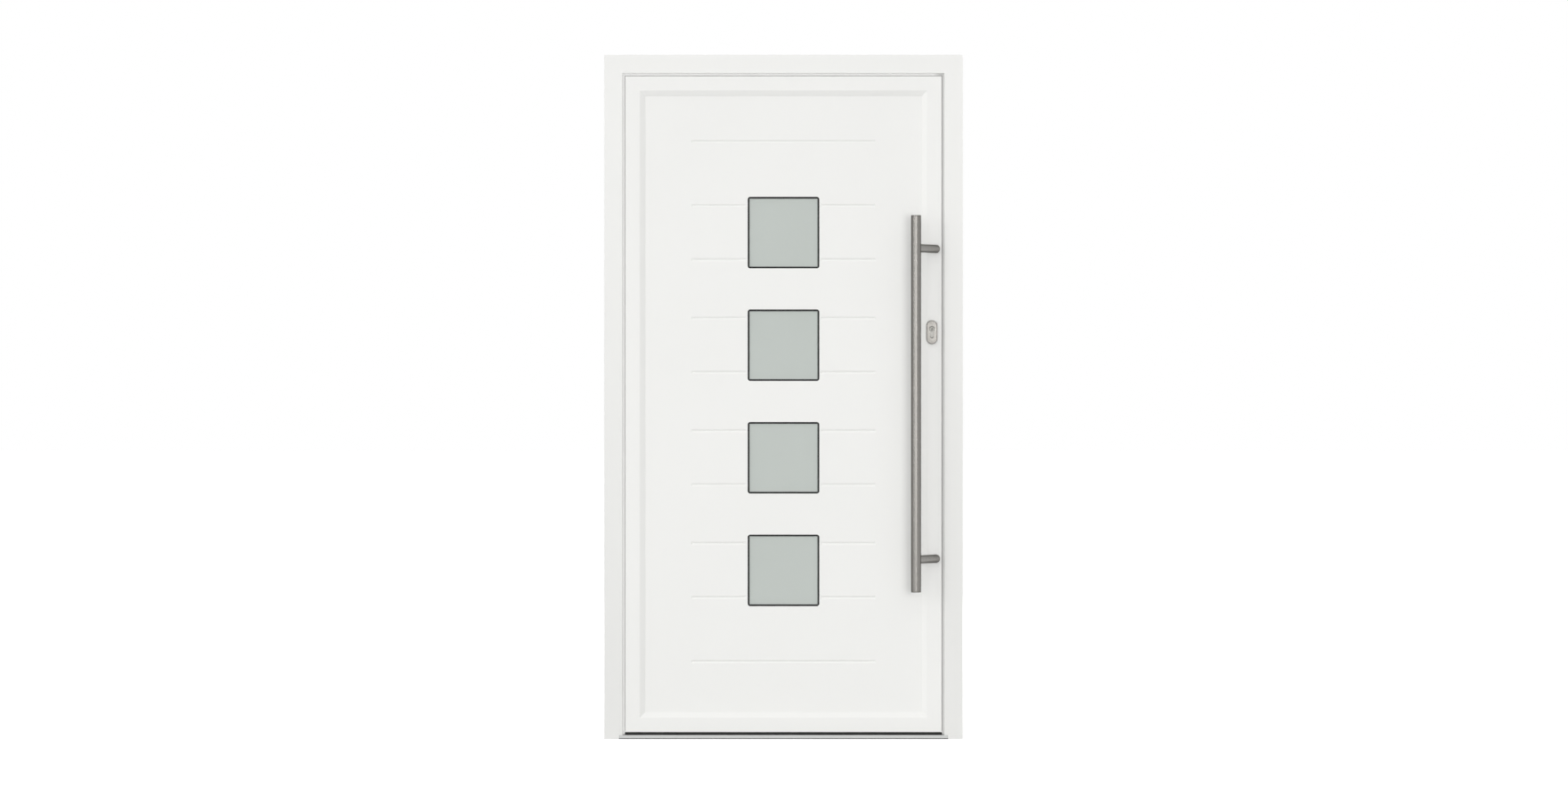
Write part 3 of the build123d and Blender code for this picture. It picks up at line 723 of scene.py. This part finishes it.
def hand_over(piece, name, body, slot, smooth_degrees=SMOOTH_DEGREES, finish=None):
    """Name a finished piece, smooth it, dress it in its slot's finish or a named one, and hang it on."""
    select_only(piece)
    bpy.ops.object.shade_smooth_by_angle(angle=math.radians(smooth_degrees))
    piece.name = name
    piece.data.name = name
    piece.data.materials.clear()
    piece.data.materials.append(finishes[finish or slot])
    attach(piece, body)


# Screws


def socket_screw(place, facing, radius, head):
    """Screw head on a face, with a socket in its top."""
    sunk = 2 * head
    socket_depth = 2 * head
    top = place + facing * head
    screw = round_rod(place - facing * sunk, top, radius, SCREW_SIDES)
    bevel_edges(screw, lambda corner: on_plane(corner, top, facing), head / 2, SMALL_STEPS)
    pick_faces(
        screw,
        lambda middle, normal: normal.dot(facing) > SAME_WAY and on_plane(middle, top, facing),
    )
    bpy.ops.mesh.inset(thickness=radius * SOCKET_RIM_SHARE)
    bpy.ops.mesh.extrude_region_move(TRANSFORM_OT_translate={"value": -facing * socket_depth})
    stop_edit()
    return screw


def screws_on(places, facing, radius, head, name, body):
    """Set of equal screws, modelled once."""
    screw = socket_screw(places[0], facing, radius, head)
    screws = copied_to(screw, [place - places[0] for place in places])
    hand_over(screws, name, body, "lock_steel")


# Pull bar and its brackets


def seam(bar, axis, seam_z, radius):
    """Fine turned line round an upright bar."""
    for level in (seam_z - SEAM_HALF, seam_z, seam_z + SEAM_HALF):
        pick_all(bar, "EDGE")
        bpy.ops.mesh.bisect(plane_co=(axis.x, axis.y, level), plane_no=(0, 0, 1))
        stop_edit()
    pick_edges(bar, lambda corner: near(corner.z, seam_z))
    shrink = 1 - SEAM_DEPTH / radius
    bpy.ops.transform.resize(value=(shrink, shrink, 1), center_override=(axis.x, axis.y, seam_z))
    stop_edit()


def make_bar():
    """Pull bar as one turned bar with rounded ends and a seam at each cap."""
    low, high, middle = box_size("pull_bar")
    cap_low, cap_high, _ = box_size("pull_bar_caps")
    radius = (high.x - low.x) / 2
    foot = (middle.x, middle.y, cap_low.z)
    head = (middle.x, middle.y, cap_high.z)
    bar = round_rod(foot, head, radius, ROUND_SIDES)
    for end_z in (cap_low.z, cap_high.z):
        bevel_edges(bar, lambda corner: near(corner.z, end_z), BAR_END_BEVEL, FINE_STEPS)
    for seam_z in (low.z, high.z):
        seam(bar, middle, seam_z, radius)
    hand_over(bar, "bar_with_caps", "leaf", "brushed_stainless", finish="bar_stainless")
    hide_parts("pull_bar", "pull_bar_caps")
    return bar


def make_bracket(node, bar):
    """Bracket with a foot square off the leaf and an arm at 45 degrees. Gives its foot and radius."""
    low, high, middle = box_size(node)
    _, _, bar_middle = box_size("pull_bar")
    radius = (high.z - low.z) / 2
    foot = Vector((high.x - radius, high.y, middle.z))
    end = Vector((bar_middle.x, bar_middle.y, middle.z))
    knee = Vector((foot.x, end.y + foot.x - end.x, middle.z))
    bracket = elbow(foot, knee, end, radius, BRACKET_BEVEL, SMALL_STEPS)
    bevel_edges(bracket, lambda corner: near(corner.y, foot.y), BRACKET_BEVEL, SMALL_STEPS)
    carve(bracket, copy_of(bar))
    hand_over(bracket, node + "_turned", "leaf", "brushed_stainless", finish="level_stainless")
    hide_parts(node)
    return foot, radius


def make_pull_handle():
    """Bar, brackets and the small screws under the brackets that clamp them."""
    bar = make_bar()
    feet = [make_bracket(node, bar) for node in ("upper_bracket", "lower_bracket")]
    places = [foot + Vector((0, -CLAMP_SCREW_FROM_FOOT, -radius)) for foot, radius in feet]
    downward = Vector((0, 0, -1))
    screws_on(places, downward, CLAMP_SCREW_RADIUS, CLAMP_SCREW_HEAD, "bracket_clamp_screws", "leaf")


# Lock furniture


def keyhole_shapes(back_y, front_y, play, end_play):
    """Barrel, link and tail of the lock cylinder's outline with room around them."""
    low, high, middle = box_size("lock_cylinder")
    barrel_radius = (high.x - low.x) / 2
    top_z = high.z - barrel_radius + end_play
    foot_z = low.z + KEYHOLE_TAIL_RADIUS - end_play
    wide = barrel_radius + play
    slim = KEYHOLE_TAIL_RADIUS + play
    low_y, high_y = sorted((back_y, front_y))
    return [
        round_rod((middle.x, back_y, top_z), (middle.x, front_y, top_z), wide, ROUND_SIDES),
        brick((middle.x - slim, low_y, foot_z), (middle.x + slim, high_y, top_z)),
        round_rod((middle.x, back_y, foot_z), (middle.x, front_y, foot_z), slim, ROUND_SIDES),
    ]


def make_cover_plate(node, outward, with_keyhole):
    """Oval cover plate with a bevelled front, and a keyhole where the cylinder shows."""
    low, high, middle = box_size(node)
    back_y, front_y = back_and_front(node, outward)
    width = high.x - low.x
    stretch = (high.z - low.z - width) / 2
    back = (middle.x, back_y, middle.z)
    front = (middle.x, front_y, middle.z)
    plate = round_rod(back, front, width / 2, ROUND_SIDES)
    split_z = middle.z - HAIR
    pick_corners(plate, lambda corner: corner.z > split_z)
    bpy.ops.transform.translate(value=(0, 0, stretch))
    stop_edit()
    pick_corners(plate, lambda corner: corner.z < split_z)
    bpy.ops.transform.translate(value=(0, 0, -stretch))
    stop_edit()
    bevel_edges(plate, lambda corner: near(corner.y, front_y), COVER_BEVEL, FINE_STEPS)
    if with_keyhole:
        past = outward * CUT_PAST
        carve(plate, *keyhole_shapes(back_y - past, front_y + past, KEYHOLE_PLAY, KEYHOLE_END_PLAY))
    hand_over(plate, node + "_pressed", "leaf", "brushed_stainless", COVER_SMOOTH_DEGREES)
    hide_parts(node)


def make_keyhole_shade_liner(node, outward):
    """Black ring at the back of a keyhole, round the lock cylinder: a dark sheet that paints the shade in
    the keyhole's gap.
    """
    back_y, _ = back_and_front(node, outward)
    front_y = back_y + outward * SHADE_LINER_THICKNESS
    past = outward * CUT_PAST
    ring, *others = keyhole_shapes(back_y, front_y, KEYHOLE_PLAY - SHADE_LINER_PLAY, KEYHOLE_END_PLAY)
    combine(ring, "UNION", others)
    carve(ring, *keyhole_shapes(back_y - past, front_y + past, SHADE_LINER_PLAY, 0))
    return ring


def make_plug(outward):
    """Turning plug of the lock cylinder with its key slot."""
    low, high, middle = box_size("lock_cylinder")
    _, face_y = back_and_front("lock_cylinder", outward)
    barrel_z = high.z - (high.x - low.x) / 2
    centre = Vector((middle.x, face_y, barrel_z))
    front = centre + Vector((0, outward * PLUG_PROUD, 0))
    plug = round_rod(centre, front, PLUG_RADIUS, SMALL_ROUND_SIDES)
    bevel_edges(plug, lambda corner: near(corner.y, front.y), PLUG_BEVEL, SMALL_STEPS)
    slot_half = Vector((KEY_SLOT_WIDTH / 2, CUT_PAST, KEY_SLOT_HEIGHT / 2))
    carve(plug, brick(centre - slot_half, centre + slot_half))
    return plug


def make_lever():
    """Inside lever: a neck off its cover plate, mitred to the grip, and a collar round its foot."""
    low, high, middle = box_size("inside_lever")
    radius = (high.z - low.z) / 2
    foot = Vector((high.x - radius, low.y, middle.z))
    knee = Vector((foot.x, high.y - radius, middle.z))
    tip = Vector((low.x, knee.y, middle.z))
    lever = elbow(foot, knee, tip, radius, LEVER_KNEE_BEVEL, MEDIUM_STEPS)
    bevel_edges(lever, lambda corner: near(corner.x, tip.x), LEVER_TIP_BEVEL, FINE_STEPS)
    hand_over(lever, "lever_handle", "leaf", "brushed_stainless", finish="level_stainless")
    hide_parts("inside_lever")
    collar_top = foot + Vector((0, COLLAR_HEIGHT, 0))
    collar = round_rod(foot, collar_top, radius + COLLAR_RIM, ROUND_SIDES)
    bevel_edges(collar, lambda corner: near(corner.y, collar_top.y), COLLAR_BEVEL, MEDIUM_STEPS)
    hand_over(collar, "lever_collar", "leaf", "brushed_stainless")


def upright_spans(node):
    """Lowest and highest level of each separate plate in a node, from the bottom up."""
    corners = frame["nodes"][node].data.vertices
    levels = sorted({round(corner.co.z, LEVEL_DIGITS) for corner in corners})
    spans = [[levels[0], levels[0]]]
    for level in levels[1:]:
        if level - spans[-1][1] > STRIKE_GAP:
            spans.append([level, level])
        spans[-1][1] = level
    return spans


def make_lock_screws():
    """Screws of the faceplate in the leaf's edge and of the strike plates in the jamb."""
    low, high, middle = box_size("lock_faceplate")
    levels = [low.z + share * (high.z - low.z) for share in FACEPLATE_SCREW_SHARES]
    places = [Vector((high.x, middle.y, level)) for level in levels]
    to_jamb = Vector((1, 0, 0))
    screws_on(places, to_jamb, SMALL_SCREW_RADIUS, SCREW_HEAD, "faceplate_screws", "leaf")
    low, _, middle = box_size("strike_plates")
    places = []
    for bottom, top in upright_spans("strike_plates"):
        places.append(Vector((low.x, middle.y, bottom + STRIKE_SCREW_FROM_END)))
        places.append(Vector((low.x, middle.y, top - STRIKE_SCREW_FROM_END)))
    screws_on(places, -to_jamb, SMALL_SCREW_RADIUS, SCREW_HEAD, "strike_screws", "frame")


def make_lock():
    """Cover plates, black rings that paint the shade in the keyholes, cylinder plugs, lever and the screws
    of the lock's edge plates.
    """
    make_cover_plate("outside_rosette", OUTSIDE, True)
    make_cover_plate("inside_rosette", INSIDE, True)
    make_cover_plate("lever_rosette", INSIDE, False)
    outside_shade_liner = make_keyhole_shade_liner("outside_rosette", OUTSIDE)
    inside_shade_liner = make_keyhole_shade_liner("inside_rosette", INSIDE)
    # Painted shade: the black rings stand in for the shade in the keyhole gaps
    hand_over(welded([outside_shade_liner, inside_shade_liner]), "keyhole_shade_liners", "leaf", "break_plastic")
    plugs = gathered([make_plug(OUTSIDE), make_plug(INSIDE)])
    hand_over(plugs, "cylinder_plugs", "leaf", "cylinder_nickel")
    make_lever()
    make_lock_screws()


# Hinges


def make_hinge_trim():
    """Domed end caps of the knuckles and the screws of the wings."""
    wings = [hinge + "_hinge_frame_wing" for hinge in HINGES]
    heights = [box_size(wing)[2].z for wing in wings]
    frame_low, frame_high, _ = box_size(wings[0])
    _, leaf_high, _ = box_size(HINGES[0] + "_hinge_leaf_wing")
    _, _, pin = box_size("hinge_pins")
    _, jamb_high, _ = box_size("hinge_jamb")
    radius = frame_high.x - pin.x
    for name, body, end_z, way in (
        ("hinge_foot_caps", "frame", frame_low.z, -1),
        ("hinge_head_caps", "leaf", frame_high.z, 1),
    ):
        tip_z = end_z + way * HINGE_CAP
        cap = round_rod((pin.x, pin.y, end_z), (pin.x, pin.y, tip_z), radius, SMALL_ROUND_SIDES)
        bevel_edges(cap, lambda corner: near(corner.z, tip_z), HINGE_CAP_BEVEL, FINE_STEPS)
        caps = copied_to(cap, [Vector((0, 0, height - heights[0])) for height in heights])
        hand_over(caps, name, body, "hinge_white")
    face_y = jamb_high.y + WING_THICKNESS
    steps = (-WING_SCREW_STEP, 0, WING_SCREW_STEP)
    levels = [height + step for height in heights for step in steps]
    inward = Vector((0, 1, 0))
    for name, body, edge_x in (
        ("frame_wing_screws", "frame", frame_low.x + WING_SCREW_FROM_EDGE),
        ("leaf_wing_screws", "leaf", leaf_high.x - WING_SCREW_FROM_EDGE),
    ):
        places = [Vector((edge_x, face_y, level)) for level in levels]
        screws_on(places, inward, WING_SCREW_RADIUS, SCREW_HEAD, name, body)


# Threshold and window beads


def make_tread_ribs():
    """Low grip ribs along the inner cover of the threshold."""
    low, high, _ = box_size("threshold_inner_cover")
    step = (high.y - low.y - 2 * RIB_MARGIN) / (RIB_COUNT - 1)
    first_y = low.y + RIB_MARGIN
    top_z = high.z + RIB_HEIGHT
    rib = brick(
        (low.x + RIB_MARGIN, first_y - RIB_WIDTH / 2, high.z - RIB_HEIGHT),
        (high.x - RIB_MARGIN, first_y + RIB_WIDTH / 2, top_z),
    )
    bevel_edges(rib, lambda corner: near(corner.z, top_z), RIB_BEVEL, SMALL_STEPS)
    ribs = copied_to(rib, [Vector((0, number * step, 0)) for number in range(RIB_COUNT)])
    hand_over(ribs, "tread_ribs", "frame", "threshold_aluminium")


def make_window_beads(name, sheet, outward):
    """Rubber beads that edge the windows on one side of the panel."""
    heights = [box_size(f"window_glass_{number + 1}")[2].z for number in range(WINDOW_COUNT)]
    _, sheet_y = back_and_front(sheet, outward)
    front_y = sheet_y - outward * BEAD_SETBACK
    rise = outward * (BEAD_FOOT - BEAD_SETBACK)
    bpy.ops.object.select_all(action="DESELECT")
    bpy.ops.mesh.primitive_plane_add(
        size=WINDOW_OPENING,
        location=(0, sheet_y - outward * BEAD_FOOT, heights[0]),
        rotation=(RIGHT_ANGLE, 0, 0),
    )
    bead = bpy.context.object
    settle(bead)
    pick_all(bead, "VERT")
    bpy.ops.mesh.bevel(offset=WINDOW_CORNER, segments=CORNER_STEPS, affect="VERTICES")
    bpy.ops.mesh.select_mode(type="FACE")
    bpy.ops.mesh.select_all(action="SELECT")
    bpy.ops.mesh.inset(thickness=BEAD_WIDTH)
    bpy.ops.mesh.delete(type="FACE")
    bpy.ops.mesh.select_all(action="SELECT")
    bpy.ops.mesh.extrude_region_move(TRANSFORM_OT_translate={"value": (0, rise, 0)})
    bpy.ops.mesh.select_all(action="SELECT")
    bpy.ops.mesh.normals_make_consistent(inside=False)
    stop_edit()
    bevel_edges(bead, lambda corner: near(corner.y, front_y), BEAD_BEVEL, MEDIUM_STEPS)
    beads = copied_to(bead, [Vector((0, 0, height - heights[0])) for height in heights])
    hand_over(beads, name, "leaf", "black_seal")


make_studio()
finishes = make_finishes()
dress_nodes()
make_pull_handle()
make_lock()
make_hinge_trim()
make_tread_ribs()
make_window_beads("outside_window_beads", "panel_outer_sheet", OUTSIDE)
make_window_beads("inside_window_beads", "panel_inner_sheet", INSIDE)
